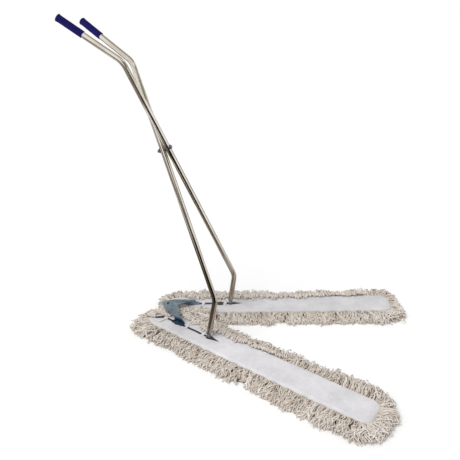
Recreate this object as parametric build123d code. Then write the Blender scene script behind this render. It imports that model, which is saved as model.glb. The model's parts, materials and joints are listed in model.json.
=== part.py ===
from build123d import *
import math
import os

# V-shaped dust mop with scissor handles. Millimetres and degrees, +Z up.
# +X points forward, the way the V opens, and +Y is the user's left.
# A mop has its own frame: s runs along its centre line from the apex end, t to its outer side.

# Mop layout
half_angle = 19.4           # between the middle plane and a mop's centre line, at rest
start_y = 46.0              # a mop's centre line at its apex end, from the middle plane
cover_length = 1000.0
cover_width = 128.0
tip_radius = 38.0           # corners of the cover at the open end of the V
apex_radius = 44.0          # its outer corner at the apex end; the inner one is a full quarter round
middle_gap = 1.2            # between the two mops where they meet at the middle plane

# Yarn
pad_height = 20.0
pad_inset = 2.0             # pad edge inside the cover's edge
pad_rounding = 6.0
fringe_reach = 62.0         # how far the fringe stands out round the cover
fringe_root = 26.0          # height of the fringe where it leaves the cover
fringe_top = 31.0           # height of its crest, which stands outside the root
fringe_lift = 0.6           # fringe above the floor
fringe_crown = 15.0         # rounding of the fringe's upper outer edge
fringe_skirt = 12.0         # rounding of its lower outer edge

# Canvas cover
canvas = 1.5
cover_rounding = 11.0       # upper edge of the cover
pocket_height = 10.6        # clear height inside the cover
slit_width = 14.0
slit_start = 12.0
slit_end = 330.0            # pointed end in front of the foot joint
tab_length = 34.0           # tie tabs, across the slit
tab_thickness = 1.4
tab_places = ((46.0, 15.0), (161.0, 13.0), (250.0, 18.0))    # place along s, width along s

# Mop frame
rod_diameter = 7.0
rod_inset = 9.0             # rod's centre inside the cover's edge
spine_width = 32.0
spine_thickness = 3.0
bar_width = 24.0
bar_thickness = 3.0
far_bar = 640.0             # place of the outer cross bar along s
weld_gap = 0.05

# Hinge between the apex plate and a mop
hinge_s = 112.0
hinge_diameter = 8.0
hinge_head = 16.0
hinge_tail = 12.8           # riveted head under the cross bar
hinge_head_height = 2.8
shoulder_diameter = 16.0
hinge_room = 6.0            # round the shoulder, to the edge of the hole in the cover

# Apex plate
plate_thickness = 3.0
plate_top = 67.0
crease_y = 20.0             # where the arms start to droop
droop = 9.0
crease_radius = 18.0
tip_x = -10.0
shoulder_x = 36.0
shoulder_y = 44.0
inner_x = 68.0              # inner corner of the V
arm_end_x = 87.0
arm_end_y = 26.0
plate_corner = 9.0
hang_x = 25.0
hang_diameter = 10.0
hang_wall = 2.0             # collar drawn down round the hanging hole
hang_depth = 6.0
lip_depth = 5.0
leg_t = -10.0               # outer face of the leg, from the centre line
leg_top_start = 80.0        # the leg's upper edge along s
leg_top_end = 117.0
foot_start = 85.0           # the leg's foot along s
foot_end = 142.0
foot_outer_t = 12.0
foot_corner = 5.0

# Foot joint of a handle
foot_s = 282.0
joint_height = 47.0         # centre of the foot joint above the floor
disc_diameter = 19.0
disc_thickness = 3.0
foot_room = 6.5             # round the disc, to the edge of the hole in the cover
swivel_diameter = 6.0
swivel_head = 9.0
swivel_tail = 12.6          # riveted head under the cross bar
swivel_head_height = 2.0
spider_size = 9.0
spider_rounding = 0.75
ear_thickness = 2.5
ear_radius = 5.2
pin_diameter = 5.0
pin_head = 7.5
pin_head_height = 1.2
fork_half_width = 3.9
fork_bridge = 7.3           # underside of the fork's bridge above the joint centre
stem_length = 30.0

# Handle tubes
tube_diameter = 22.0
tube_wall = 1.5
lean = 23.2                 # main run from upright, at rest
lower_bend = 31.7
upper_bend = 33.8
lower_run = 150.0           # foot joint to lower bend
main_run = 977.0
upper_run = 269.0
bend_radius = 70.0
crossing_run = 625.0        # lower bend to the crossing bolt
tube_gap = 2.0              # between the tubes where they cross
tube_start = 8.5            # tube's lower end above the joint centre
rivet_diameter = 5.0
rivet_head = 8.4
rivet_head_height = 2.0
rivet_rise = 14.0           # rivet above the tube's lower end

# Crossing bolt
bolt_diameter = 8.0
bolt_head = 14.0
bolt_head_height = 5.0
washer_diameter = 19.0
washer_thickness = 1.6
saddle_depth = 5.5          # how far the saddle washer reaches round the tube
nut_size = 13.0
nut_height = 7.5
bolt_tail = 2.5             # bolt end past the nut
bolt_play = 0.9             # radial, in the tube that turns round the bolt

# Grips
grip_length = 106.0
grip_diameter = 27.0
grip_flare = 29.5
grip_cap = 4.0              # closed end
grip_rounding = 1.4         # open end
grip_ribs = 14
rib_depth = 0.5
rib_crest = 0.55            # shares of a rib's pitch: crest, slope down, groove, slope up
rib_slope = 0.15

# Fits
running = 0.05              # radial, round a pin
seat = 0.02                 # radial, where a pin is fast
clear = 0.3                 # between faces that move past each other
dome_rounding = 0.6         # share of a rivet head's height that is rounded

# Levels, from the floor up
half_width = cover_width / 2
cover_bottom = pad_height
pocket_floor = cover_bottom + canvas
pocket_ceiling = pocket_floor + pocket_height
cover_top = pocket_ceiling + canvas
spine_top = pocket_ceiling - clear
spine_bottom = spine_top - spine_thickness
rod_centre = spine_bottom - weld_gap - rod_diameter / 2
bar_bottom = spine_bottom - bar_thickness
plate_foot_bottom = cover_top + clear
disc_bottom = spine_top + clear
disc_top = disc_bottom + disc_thickness

# Directions and points
v_cos = math.cos(math.radians(half_angle))
v_sin = math.sin(math.radians(half_angle))


def mop_point(s, t):
    return (s * v_cos - t * v_sin, start_y + s * v_sin + t * v_cos)


mop = Location((0, start_y, 0), (0, 0, half_angle))
hinge_x, hinge_y = mop_point(hinge_s, 0)
foot_x, foot_y = mop_point(foot_s, 0)
lower_rise = lower_run * math.cos(math.radians(lower_bend))
lower_forward = lower_run * math.sin(math.radians(lower_bend))
crossing_reach = lower_rise + crossing_run
spread = math.degrees(math.asin(foot_y / crossing_reach))
half_offset = (tube_diameter + tube_gap) / 2
crossing_rise = crossing_reach * math.cos(math.radians(spread))
lean_offset = math.degrees(math.asin(half_offset / crossing_rise))
crossing_frame = Pos(foot_x, 0, joint_height) * Rot(Y=-lean)
crossing = crossing_frame * Pos(lower_forward, 0, crossing_rise)


def tube_frame(side):
    turned = Rot(Y=-lean + side * lean_offset) * Rot(X=side * spread)
    return Pos(foot_x, side * foot_y, joint_height) * turned


def mirrored(part):
    return mirror(part, about=Plane.XZ)


# Cylinder with its axis on +Z from one level to another
def post(diameter, low, high):
    return Pos(0, 0, low) * Cylinder(diameter / 2, high - low, align=(Align.CENTER, Align.CENTER, Align.MIN))


# Dome-headed disc that stands on a level
def dome(diameter, low, height):
    blank = post(diameter, low, low + height)
    return fillet(blank.edges().sort_by(Axis.Z)[-1], dome_rounding * height)


# Outline of a mop in its own frame, grown or shrunk from the cover's edge
def outline(grow):
    body = Pos(cover_length / 2, 0) * Rectangle(cover_length + 2 * grow, cover_width + 2 * grow)
    body = fillet(body.vertices().group_by(Axis.X)[-1], tip_radius + grow)
    body = fillet(body.vertices().sort_by(Axis.X)[:2].sort_by(Axis.Y)[-1], apex_radius + grow)
    return fillet(body.vertices().sort_by(Axis.Y)[:2].sort_by(Axis.X)[0], half_width + grow)


# Part of a left-hand solid that lies clear of the middle plane
def own_side(part):
    reach = 2 * cover_length
    keep = Box(2 * reach, reach, reach, align=(Align.CENTER, Align.MIN, Align.CENTER))
    return part & (Pos(0, middle_gap / 2, 0) * keep)


def yarn_pad():
    pad = extrude(outline(-pad_inset), pad_height)
    pad = fillet(pad.edges().group_by(Axis.Z)[0], pad_rounding)
    return own_side(mop * pad)


def fringe(side):
    roll = extrude(outline(fringe_reach), fringe_top - fringe_lift)
    roll = fillet(roll.edges().group_by(Axis.Z)[-1], fringe_crown)
    roll = fillet(roll.edges().group_by(Axis.Z)[0], fringe_skirt)
    roll = Pos(0, 0, fringe_lift) * roll - extrude(outline(clear), fringe_top)
    crest = outline(fringe_reach - fringe_crown)
    roll -= loft([Pos(0, 0, fringe_root) * outline(clear), Pos(0, 0, fringe_top) * crest], ruled=True)
    span = 2 * cover_length
    lay = Align.MIN if side > 0 else Align.MAX
    half = Pos(half_width, 0, 0) * Box(2 * span, span, span, align=(Align.CENTER, lay, Align.CENTER))
    return own_side(mop * (roll & half))


def mop_cover():
    shell = Pos(0, 0, cover_bottom) * extrude(outline(0), cover_top - cover_bottom)
    shell = fillet(shell.edges().group_by(Axis.Z)[-1], cover_rounding)
    pocket = Pos(0, 0, pocket_floor) * extrude(outline(-canvas), pocket_height)
    shell -= fillet(pocket.edges().group_by(Axis.Z)[-1], cover_rounding - canvas)
    edge = slit_width / 2
    foot_hole = disc_diameter / 2 + foot_room
    slit = make_face(Polyline(
        (slit_start, -edge), (foot_s, -edge), (foot_s, edge), (slit_start, edge), close=True))
    slit += make_face(Polyline((foot_s, -foot_hole), (slit_end, 0), (foot_s, foot_hole), close=True))
    slit += Pos(foot_s, 0) * Circle(foot_hole)
    slit += Pos(hinge_s, 0) * Circle(shoulder_diameter / 2 + hinge_room)
    shell -= Pos(0, 0, pocket_ceiling) * extrude(slit, 2 * canvas)
    return own_side(mop * shell)


def tie_tabs():
    tabs = []
    for place, width in tab_places:
        strip = extrude(RectangleRounded(width, tab_length, 2), tab_thickness)
        tabs.append(mop * Pos(place, 0, cover_top) * strip)
    return Compound(tabs)


def frame_rod():
    path = outline(-rod_inset).wire()
    start = Plane(origin=path @ 0, z_dir=path % 0)
    return mop * Pos(0, 0, rod_centre) * sweep(start * Circle(rod_diameter / 2), path=path)


def frame_spine():
    start = cover_rounding
    length = cover_length - 2 * start
    bar = Pos(start + length / 2, 0) * Rectangle(length, spine_width)
    bar -= Pos(hinge_s, 0) * Circle(hinge_diameter / 2 + seat)
    bar -= Pos(foot_s, 0) * Circle(swivel_diameter / 2 + seat)
    return mop * Pos(0, 0, spine_bottom) * extrude(bar, spine_thickness)


def cross_bars():
    length = cover_width - 2 * rod_inset - rod_diameter - 2 * weld_gap
    holes = {hinge_s: hinge_diameter, foot_s: swivel_diameter}
    bars = []
    for place in (hinge_s, foot_s, far_bar):
        bar = Rectangle(bar_width, length)
        if place in holes:
            bar -= Circle(holes[place] / 2 + seat)
        bars.append(mop * Pos(place, 0, bar_bottom) * extrude(bar, bar_thickness))
    return Compound(bars)


# Shouldered rivet: the plate's foot turns between the shoulder and the upper head
def hinge_rivet():
    foot_top = plate_foot_bottom + plate_thickness
    rivet = post(hinge_diameter, bar_bottom, foot_top + clear)
    rivet += post(hinge_tail, bar_bottom - hinge_head_height, bar_bottom)
    rivet += post(shoulder_diameter, spine_top, plate_foot_bottom - clear)
    rivet += dome(hinge_head, foot_top + clear, hinge_head_height)
    return mop * Pos(hinge_s, 0, 0) * rivet


# Height of the plate's upper face at a distance from the middle plane, as a bent strip across it
def plate_strip(above, below):
    reach = foot_y
    drop = (reach - crease_y) * math.tan(math.radians(droop))
    edge = plate_top - drop
    top = [(-reach, edge), (-crease_y, plate_top), (crease_y, plate_top), (reach, edge)]
    upper = [(y, z + above) for y, z in top]
    lower = [(y, z - below) for y, z in reversed(top)]
    face = make_face(Polyline(*upper, *lower, close=True))
    creases = face.vertices().filter_by(lambda v: abs(abs(v.X) - crease_y) < 1)
    face = fillet(creases, crease_radius)
    length = 2 * (arm_end_x + leg_top_end)
    return Pos(-length / 2, 0, 0) * extrude(Plane.YZ * face, length)


def plate_outline():
    left = [
        (tip_x, 0),
        (shoulder_x, shoulder_y),
        mop_point(leg_top_start, leg_t),
        mop_point(leg_top_end, leg_t),
        (arm_end_x, arm_end_y),
        (inner_x, 0),
    ]
    right = [(x, -y) for x, y in reversed(left[1:-1])]
    face = make_face(Polyline(*left, *right, close=True))
    rounded = [v for v in face.vertices() if v.X < leg_top_start]
    return fillet(rounded, plate_corner)


def plate_leg():
    upright = make_face(Polyline(
        (foot_start, plate_foot_bottom),
        (foot_end, plate_foot_bottom),
        (leg_top_end, plate_top),
        (leg_top_start, plate_top),
        close=True))
    leg = Pos(0, leg_t, 0) * extrude(Plane.XZ * upright, plate_thickness)
    inner_t = leg_t - plate_thickness
    pad = Pos((foot_start + foot_end) / 2, (inner_t + foot_outer_t) / 2)
    pad *= Rectangle(foot_end - foot_start, foot_outer_t - inner_t)
    pad = fillet(pad.vertices().group_by(Axis.Y)[-1], foot_corner)
    pad -= Pos(hinge_s, 0) * Circle(hinge_diameter / 2 + running)
    pad = Pos(0, 0, plate_foot_bottom) * extrude(pad, plate_thickness)
    return mop * leg, mop * pad


def apex_plate():
    plan = plate_outline()
    prism = extrude(plan, 2 * plate_top)
    top = prism & plate_strip(0, plate_thickness)
    leg, pad = plate_leg()
    leg = leg & plate_strip(0, plate_top)
    rim = plan - offset(plan, -plate_thickness)
    inner_side = make_face(Polyline(
        (inner_x - shoulder_x / 2, 0),
        (shoulder_x + plate_thickness * 4, shoulder_y / 2),
        mop_point(leg_top_start, leg_t * 2),
        mop_point(leg_top_end * 2, leg_t),
        (arm_end_x * 2, 0),
        close=True))
    rim -= inner_side + mirror(inner_side, about=Plane.XZ)
    lip = extrude(rim, 2 * plate_top) & plate_strip(-plate_thickness / 2, plate_thickness + lip_depth)
    plate = top + lip + leg + pad + mirrored(leg) + mirrored(pad)
    underside = plate_top - plate_thickness
    plate += Pos(hang_x, 0, 0) * post(hang_diameter + 2 * hang_wall, underside - hang_depth, underside)
    return plate - Pos(hang_x, 0, 0) * post(hang_diameter, 0, 2 * plate_top)


# Disc on the spine with two ears that carry the lean pin
def foot_yoke():
    inner = spider_size / 2 + clear
    disc = post(disc_diameter, disc_bottom, disc_top) - post(swivel_diameter + 2 * running, 0, disc_top)
    blank = Plane.XZ * (Circle(ear_radius) + Pos(0, (disc_bottom - joint_height) / 2) * Rectangle(
        2 * ear_radius, joint_height - disc_bottom))
    blank -= Plane.XZ * Circle(pin_diameter / 2 + seat)
    ear = Pos(0, inner + ear_thickness, joint_height) * extrude(blank, ear_thickness)
    yoke = disc + ear + mirrored(ear)
    return Pos(foot_x, foot_y, 0) * yoke


def swivel_rivet():
    rivet = post(swivel_diameter, bar_bottom, disc_top + clear)
    rivet += post(swivel_tail, bar_bottom - swivel_head_height, bar_bottom)
    rivet += dome(swivel_head, disc_top + clear, swivel_head_height)
    return Pos(foot_x, foot_y, 0) * rivet


def lean_pin():
    outer = spider_size / 2 + clear + ear_thickness
    pin = post(pin_diameter, -outer, outer)
    head = dome(pin_head, outer, pin_head_height)
    pin += head + mirror(head, about=Plane.XY)
    return Pos(foot_x, foot_y, joint_height) * Rot(X=-90) * pin


# Block on the lean pin, with a trunnion fore and aft, in line with the crossing bolt
def foot_spider():
    reach = spider_size / 2 + clear + ear_thickness
    block = Box(spider_size, spider_size, spider_size)
    block = fillet(block.edges(), spider_rounding)
    block += Rot(Y=90) * post(pin_diameter, -reach, reach)
    block -= Rot(X=90) * post(pin_diameter + 2 * running, -spider_size, spider_size)
    return Pos(foot_x, foot_y, joint_height) * Rot(Y=-lean) * block


# Cranked fork: two ears on the trunnions, a bridge, and a stem that plugs into the tube
def foot_fork(side):
    inner = spider_size / 2 + clear
    outer = inner + ear_thickness
    bridge_top = fork_bridge + ear_thickness
    blank = Circle(fork_half_width) + Pos(0, bridge_top / 2) * Rectangle(2 * fork_half_width, bridge_top)
    blank -= Circle(pin_diameter / 2 + running)
    ear = Pos(inner, 0, 0) * extrude(Plane.YZ * blank, ear_thickness)
    ears = ear + mirror(ear, about=Plane.YZ)
    bridge = Pos(0, 0, fork_bridge) * Box(
        2 * outer, 2 * fork_half_width, ear_thickness, align=(Align.CENTER, Align.CENTER, Align.MIN))
    joint = Pos(foot_x, side * foot_y, joint_height)
    claw = joint * Rot(Y=-lean) * Rot(X=side * spread) * (ears + bridge)
    bore = tube_diameter - 2 * tube_wall - 2 * seat
    stem = tube_frame(side) * Rot(Y=lower_bend) * post(bore, tube_start, tube_start + stem_length)
    rise = tube_start + rivet_rise
    stem -= tube_frame(side) * Rot(Y=lower_bend) * Pos(0, 0, rise) * Rot(X=90) * post(
        rivet_diameter + 2 * seat, -tube_diameter, tube_diameter)
    return claw + stem


def tube_path():
    low = (lower_forward, 0, lower_rise)
    high = (lower_forward, 0, lower_rise + main_run)
    start = (tube_start / lower_run * lower_forward, 0, tube_start / lower_run * lower_rise)
    end = (
        high[0] - upper_run * math.sin(math.radians(upper_bend)),
        0,
        high[2] + upper_run * math.cos(math.radians(upper_bend)),
    )
    return FilletPolyline(start, low, high, end, radius=bend_radius)


def handle_tube(side):
    path = tube_path()
    start = Plane(origin=path @ 0, z_dir=path % 0)
    tube = sweep(start * Circle(tube_diameter / 2), path=path)
    tube -= sweep(start * Circle(tube_diameter / 2 - tube_wall), path=path)
    rise = Rot(Y=lower_bend) * Pos(0, 0, tube_start + rivet_rise)
    tube -= rise * Rot(X=90) * post(rivet_diameter + 2 * seat, -tube_diameter, tube_diameter)
    hole = bolt_diameter + 2 * (seat if side > 0 else bolt_play)
    drill = crossing * Rot(Y=90) * post(hole, -2 * tube_diameter, 2 * tube_diameter)
    return tube_frame(side) * tube - drill


# Rivet through the tube and the fork's stem, its heads shaped to the tube
def fork_rivet(side):
    outer = tube_diameter / 2 + rivet_head_height
    rivet = post(rivet_diameter, -outer + rivet_head_height / 2, outer - rivet_head_height / 2)
    head = dome(rivet_head, tube_diameter / 2 - rivet_head_height, 2 * rivet_head_height)
    head -= Rot(X=90) * post(tube_diameter + 2 * seat, -tube_diameter, tube_diameter)
    rivet += head + mirror(head, about=Plane.XY)
    return tube_frame(side) * Rot(Y=lower_bend) * Pos(0, 0, tube_start + rivet_rise) * Rot(X=90) * rivet


# Moulded sleeve with a closed, slightly flared end and shallow ribs
def grip(side):
    bore = tube_diameter / 2 + seat
    body = grip_diameter / 2
    flare = grip_flare / 2
    pitch = (grip_length - 4 * grip_cap) / grip_ribs
    profile = [(0, grip_cap), (0, 0), (flare - grip_cap / 2, 0), (flare, grip_cap / 2), (flare, grip_cap)]
    profile.append((body, 2 * grip_cap))
    for number in range(grip_ribs):
        base = 2 * grip_cap + number * pitch
        profile.append((body, base + rib_crest * pitch))
        profile.append((body - rib_depth, base + (rib_crest + rib_slope) * pitch))
        profile.append((body - rib_depth, base + (1 - rib_slope) * pitch))
        profile.append((body, base + pitch))
    profile += [(body, grip_length - grip_cap / 2), (body - grip_rounding, grip_length), (bore, grip_length)]
    profile.append((bore, grip_cap))
    face = make_face(Polyline(*[(r, 0, -z) for r, z in profile], close=True))
    sleeve = revolve(face, axis=Axis.Z)
    end = Pos(*(tube_path() @ 1)) * Rot(Y=-upper_bend)
    return tube_frame(side) * end * Pos(0, 0, grip_cap) * sleeve


# The bolt's own frame has +Z forward along the bolt, with its origin between the tubes
bolt_frame = crossing * Rot(Y=90)
bolt_seat = half_offset + tube_diameter / 2
nut_face = -bolt_seat - clear - washer_thickness


def pivot_bolt():
    front = bolt_seat + washer_thickness
    bolt = post(bolt_diameter, nut_face - nut_height - bolt_tail, front)
    bolt += dome(bolt_head, front, bolt_head_height)
    return bolt_frame * bolt


def pivot_nut():
    plan = RegularPolygon(nut_size / 2, 6, major_radius=False) - Circle(bolt_diameter / 2 + seat)
    return bolt_frame * Pos(0, 0, nut_face - nut_height) * extrude(plan, nut_height)


# Saddle washer under the head, thin washer between the tubes, flat washer under the nut
def pivot_washers():
    hole = Circle(bolt_diameter / 2 + seat)
    flat = extrude(Circle(washer_diameter / 2) - hole, washer_thickness)
    saddle = Pos(0, 0, -saddle_depth) * extrude(
        Circle(washer_diameter / 2) - hole, saddle_depth + washer_thickness)
    saddle = bolt_frame * Pos(0, 0, bolt_seat) * saddle
    run = post(tube_diameter + 2 * seat, 0, lower_rise + main_run)
    saddle -= tube_frame(1) * Pos(lower_forward, 0, 0) * run
    middle = extrude(Circle(washer_diameter / 2) - hole, tube_gap - 2 * clear)
    middle = bolt_frame * Pos(0, 0, clear - tube_gap / 2) * middle
    back = bolt_frame * Pos(0, 0, nut_face) * flat
    return Compound([saddle, middle, back])


nodes = {
    "apex_plate": apex_plate(),
    "pivot_bolt": pivot_bolt(),
    "pivot_nut": pivot_nut(),
    "pivot_washers": pivot_washers(),
}
left_nodes = {
    "hinge_rivet": hinge_rivet(),
    "frame_rod": frame_rod(),
    "frame_spine": frame_spine(),
    "cross_bars": cross_bars(),
    "mop_cover": mop_cover(),
    "tie_tabs": tie_tabs(),
    "yarn_pad": yarn_pad(),
    "fringe_outer": fringe(1),
    "fringe_inner": fringe(-1),
    "swivel_rivet": swivel_rivet(),
    "foot_yoke": foot_yoke(),
    "lean_pin": lean_pin(),
    "foot_spider": foot_spider(),
}
for name, part in left_nodes.items():
    nodes["left_" + name] = part
    nodes["right_" + name] = mirrored(part)
for word, side in (("left_", 1), ("right_", -1)):
    nodes[word + "foot_fork"] = foot_fork(side)
    nodes[word + "fork_rivet"] = fork_rivet(side)
    nodes[word + "handle_tube"] = handle_tube(side)
    nodes[word + "grip"] = grip(side)

# Centre the whole mop on X, with the floor at zero
box = Compound([part for part in nodes.values()]).bounding_box()
shift = -(box.min.X + box.max.X) / 2
os.makedirs("parts", exist_ok=True)
for name, part in nodes.items():
    export_step(Pos(shift, 0, 0) * part, f"parts/{name}.step")

print("shift", round(shift, 4), "size", [round(v, 2) for v in box.size])
print("hinge", round(hinge_x + shift, 4), round(hinge_y, 4))
print("foot", round(foot_x + shift, 4), round(foot_y, 4), joint_height)
print("crossing", [round(v, 4) for v in (Pos(shift, 0, 0) * crossing).position])
print("spread", round(spread, 4), "lean offset", round(lean_offset, 4))
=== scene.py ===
import json
from functools import partial

import bmesh
import bpy
import numpy as np
from mathutils import Matrix, Vector


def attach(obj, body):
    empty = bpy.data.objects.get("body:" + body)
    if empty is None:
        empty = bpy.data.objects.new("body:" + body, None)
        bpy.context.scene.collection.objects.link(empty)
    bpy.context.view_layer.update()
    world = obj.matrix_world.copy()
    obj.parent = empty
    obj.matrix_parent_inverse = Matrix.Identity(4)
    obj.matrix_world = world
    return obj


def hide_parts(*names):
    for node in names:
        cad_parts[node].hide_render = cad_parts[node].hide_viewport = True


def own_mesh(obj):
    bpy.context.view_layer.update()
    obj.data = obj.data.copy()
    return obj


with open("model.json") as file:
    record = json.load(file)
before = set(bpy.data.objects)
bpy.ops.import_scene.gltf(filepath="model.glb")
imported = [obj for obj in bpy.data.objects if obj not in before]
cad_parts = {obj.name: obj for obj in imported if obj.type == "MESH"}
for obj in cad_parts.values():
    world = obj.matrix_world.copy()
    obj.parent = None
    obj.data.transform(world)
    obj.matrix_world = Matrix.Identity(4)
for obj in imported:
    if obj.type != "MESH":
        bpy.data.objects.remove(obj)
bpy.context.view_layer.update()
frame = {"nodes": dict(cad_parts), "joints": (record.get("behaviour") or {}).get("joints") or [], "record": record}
scene = bpy.context.scene
nodes = frame["nodes"]

tau = 2 * np.pi
# metres throughout; the camera stands where the photograph was taken from
view = {
    "place": (0.585008, -1.852597, 1.282875),
    "azimuth": 18.2863,
    "elevation": 23.0536,
    "focalPixels": 538.25,
    "imagePixels": 460,
}


def makeCamera():
    # the lens looks against the axis (sin az cos el, -cos az cos el, sin el)
    az, el = np.radians([view["azimuth"], view["elevation"]])
    right = Vector((np.cos(az), np.sin(az), 0))
    back = Vector((np.sin(az) * np.cos(el), -np.cos(az) * np.cos(el), np.sin(el)))
    up = back.cross(right)
    camera = bpy.data.objects.new("camera", bpy.data.cameras.new("camera"))
    camera.data.lens = camera.data.sensor_width * view["focalPixels"] / view["imagePixels"]
    camera.matrix_world = Matrix.Translation(view["place"]) @ Matrix((right, up, back)).transposed().to_4x4()
    scene.collection.objects.link(camera)
    scene.camera = camera


makeCamera()
scene.view_settings.view_transform = "Standard"
print("camera: lens", round(scene.camera.data.lens, 2), "mm")

# one mop in its own frame: s runs from the apex end to the tip, t across it, outwards
mop = {
    "length": 1.0,
    "halfWidth": 0.064,
    "apexRadius": 0.044,  # outer corner at the apex end; the inner one is a full quarter round
    "tipRadius": 0.038,
    "hingeAt": 0.112,
    "footAt": 0.282,
    "top": 0.0336,
    "bottom": 0.0204,
    "rounding": 0.011,
    "drawnOut": {"left": 0.0, "right": 0.028},  # how far the apex end is pulled out of line
    "drawnFrom": 0.092,  # and where that starts
    "cornerPoints": 25,  # round each corner of the outline
}
outline = [mop[word] for word in ("halfWidth", "length", "apexRadius", "tipRadius")]
joint = {row["name"]: np.array(row["pos_m"]) for row in frame["joints"]}
hinge = joint["v_close"][:2]
foot = joint["left_foot_swivel"][:2]
along = (foot - hinge) / np.linalg.norm(foot - hinge)
across = np.array([-along[1], along[0]])
mopStart = hinge - along * mop["hingeAt"]


def toWorld(word, s, t, z):
    # start + s along + t across, for the left mop; the right one is its mirror image. The apex end is
    # drawn out in proportion to its distance from the place where that starts
    s = s - mop["drawnOut"][word] * np.clip(1 - s / mop["drawnFrom"], 0, 1)
    x = mopStart[0] + s * along[0] + t * across[0]
    y = mopStart[1] + s * along[1] + t * across[1]
    return np.stack(np.broadcast_arrays(x, y, z), axis=-1)


def unit(vectors):
    return vectors / np.maximum(np.linalg.norm(vectors, axis=-1, keepdims=True), 1e-12)


def lengthAlong(points):
    # the distance run from the first point of each row of points
    steps = np.linalg.norm(np.diff(points, axis=-2), axis=-1)
    return np.concatenate([np.zeros_like(steps[..., :1]), np.cumsum(steps, axis=-1)], axis=-1)


def gridFaces(rows, columns, wrap=False):
    # corner numbers of a grid's faces, counted row by row; wrap joins the last column to the first
    r, c = np.meshgrid(np.arange(rows - 1), np.arange(columns if wrap else columns - 1), indexing="ij")
    after = (c + 1) % columns
    corners = [r * columns + c, r * columns + after, (r + 1) * columns + after, (r + 1) * columns + c]
    return np.stack(corners, axis=-1).reshape(-1, 4)


def makePiece(name, points, faces, side=1, uv=None, marks=None):
    # four-cornered faces into a mesh; side -1 mirrors it in the middle plane and turns its faces over
    points = points.reshape(-1, 3) * (1, side, 1)
    faces = faces[:, ::side]
    mesh = bpy.data.meshes.new(name)
    mesh.vertices.add(len(points))
    mesh.vertices.foreach_set("co", points.ravel())
    mesh.loops.add(faces.size)
    mesh.loops.foreach_set("vertex_index", faces.ravel())
    mesh.polygons.add(len(faces))
    mesh.polygons.foreach_set("loop_start", np.arange(0, faces.size, 4))
    mesh.update(calc_edges=True)
    if uv is not None:
        mesh.uv_layers.new(name="run").data.foreach_set("uv", uv[:, ::side].ravel())
    for word, values in (marks or {}).items():
        mesh.attributes.new(word, "FLOAT", "POINT").data.foreach_set("value", values.ravel())
    mesh.shade_smooth()
    piece = bpy.data.objects.new(name, mesh)
    scene.collection.objects.link(piece)
    return piece


def thicken(piece, thickness, offset):
    wall = piece.modifiers.new("cloth", "SOLIDIFY")
    wall.thickness = thickness
    wall.offset = offset


def mergeDoubles(piece):
    # rows that run into a point become triangles, and neighbouring grids are sewn together
    work = bmesh.new()
    work.from_mesh(piece.data)
    bmesh.ops.remove_doubles(work, verts=work.verts, dist=0.00002)
    work.to_mesh(piece.data)
    work.free()


def sweepTubes(paths, radius):
    # a four-sided section carried along each row of points, square to it and without twist; smooth shading
    # rounds it
    count, rings = paths.shape[:2]
    sides = 4
    tangent = unit(np.gradient(paths, axis=1))
    normal = np.empty_like(paths)
    normal[:, 0] = unit(np.cross(tangent[:, 0], (0.0, 0.0, 1.0)))
    for ring in range(1, rings):
        ahead = tangent[:, ring]
        before = normal[:, ring - 1]
        normal[:, ring] = unit(before - (before * ahead).sum(-1, keepdims=True) * ahead)
    binormal = np.cross(tangent, normal)
    turn = tau * np.arange(sides) / sides
    circle = np.cos(turn)[:, None] * normal[:, :, None] + np.sin(turn)[:, None] * binormal[:, :, None]
    points = paths[:, :, None] + radius * circle
    wall = gridFaces(rings, sides, wrap=True)
    ends = np.arange(sides)
    caps = np.stack([ends[::-1], (rings - 1) * sides + ends])
    faces = np.concatenate([wall, caps])[None] + (np.arange(count) * rings * sides)[:, None, None]
    # u goes once round the strand, v is the length along it
    u = (wall[:, :1] % sides + [0, 1, 1, 0]) / sides
    v = lengthAlong(paths)[:, wall // sides]
    wallUv = np.stack(np.broadcast_arrays(u, v), axis=-1)
    uv = np.concatenate([wallUv, np.zeros((count, 2, 4, 2))], axis=1)
    return points.reshape(-1, 3), faces.reshape(-1, 4), uv.reshape(-1, 4, 2)


def edgeRun(grow):
    # the cover's outline set out by grow: distance, s, t and direction of the outward normal,
    # from the middle of the apex end along the outer side, round the tip and back along the inner side
    half, end, apex, tip = outline
    rounds = np.array([
        (apex, half - apex, apex, 180),
        (end - tip, half - tip, tip, 90),
        (end - tip, tip - half, tip, 0),
        (half, 0, half, -90),
    ])
    corner = mop["cornerPoints"]
    turn = np.radians(np.concatenate([[180], (rounds[:, 3:] - np.linspace(0, 90, corner)).ravel()]))
    middle = np.concatenate([np.zeros((1, 3)), np.repeat(rounds[:, :3], corner, axis=0)])
    s = middle[:, 0] + (middle[:, 2] + grow) * np.cos(turn)
    t = middle[:, 1] + (middle[:, 2] + grow) * np.sin(turn)
    return lengthAlong(np.stack([s, t], axis=-1)), s, t, turn


# materials: colours are sRGB hex, pattern sizes are millimetres
def linear(hexText):
    c = np.array([int(hexText[i:i + 2], 16) for i in (1, 3, 5)]) / 255
    return (*np.where(c <= 0.04045, c / 12.92, ((c + 0.055) / 1.055) ** 2.4), 1.0)


def per(millimetres):
    return 1000 / millimetres


waveBand = 0.314  # a wave texture's bands repeat every 0.314 / scale
darken = {"data_type": "RGBA", "blend_type": "MULTIPLY"}  # for a mix of two colours


def feed(tree, node, inputs):
    # socket name or number to a value, to an output, or to a node whose first enabled output is linked in
    for word, value in inputs.items():
        if isinstance(value, bpy.types.Node):
            value = next(output for output in value.outputs if output.enabled)
        if isinstance(value, bpy.types.NodeSocket):
            tree.links.new(value, node.inputs[word])
        else:
            node.inputs[word].default_value = value


def addNode(tree, kind, inputs, **settings):
    # a range's inputs 1 to 4 are its limits before and after, a colour mix's 6 and 7 are its two colours
    node = tree.nodes.new("ShaderNode" + kind)
    for word, value in settings.items():
        setattr(node, word, value)
    feed(tree, node, inputs)
    return node


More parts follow.
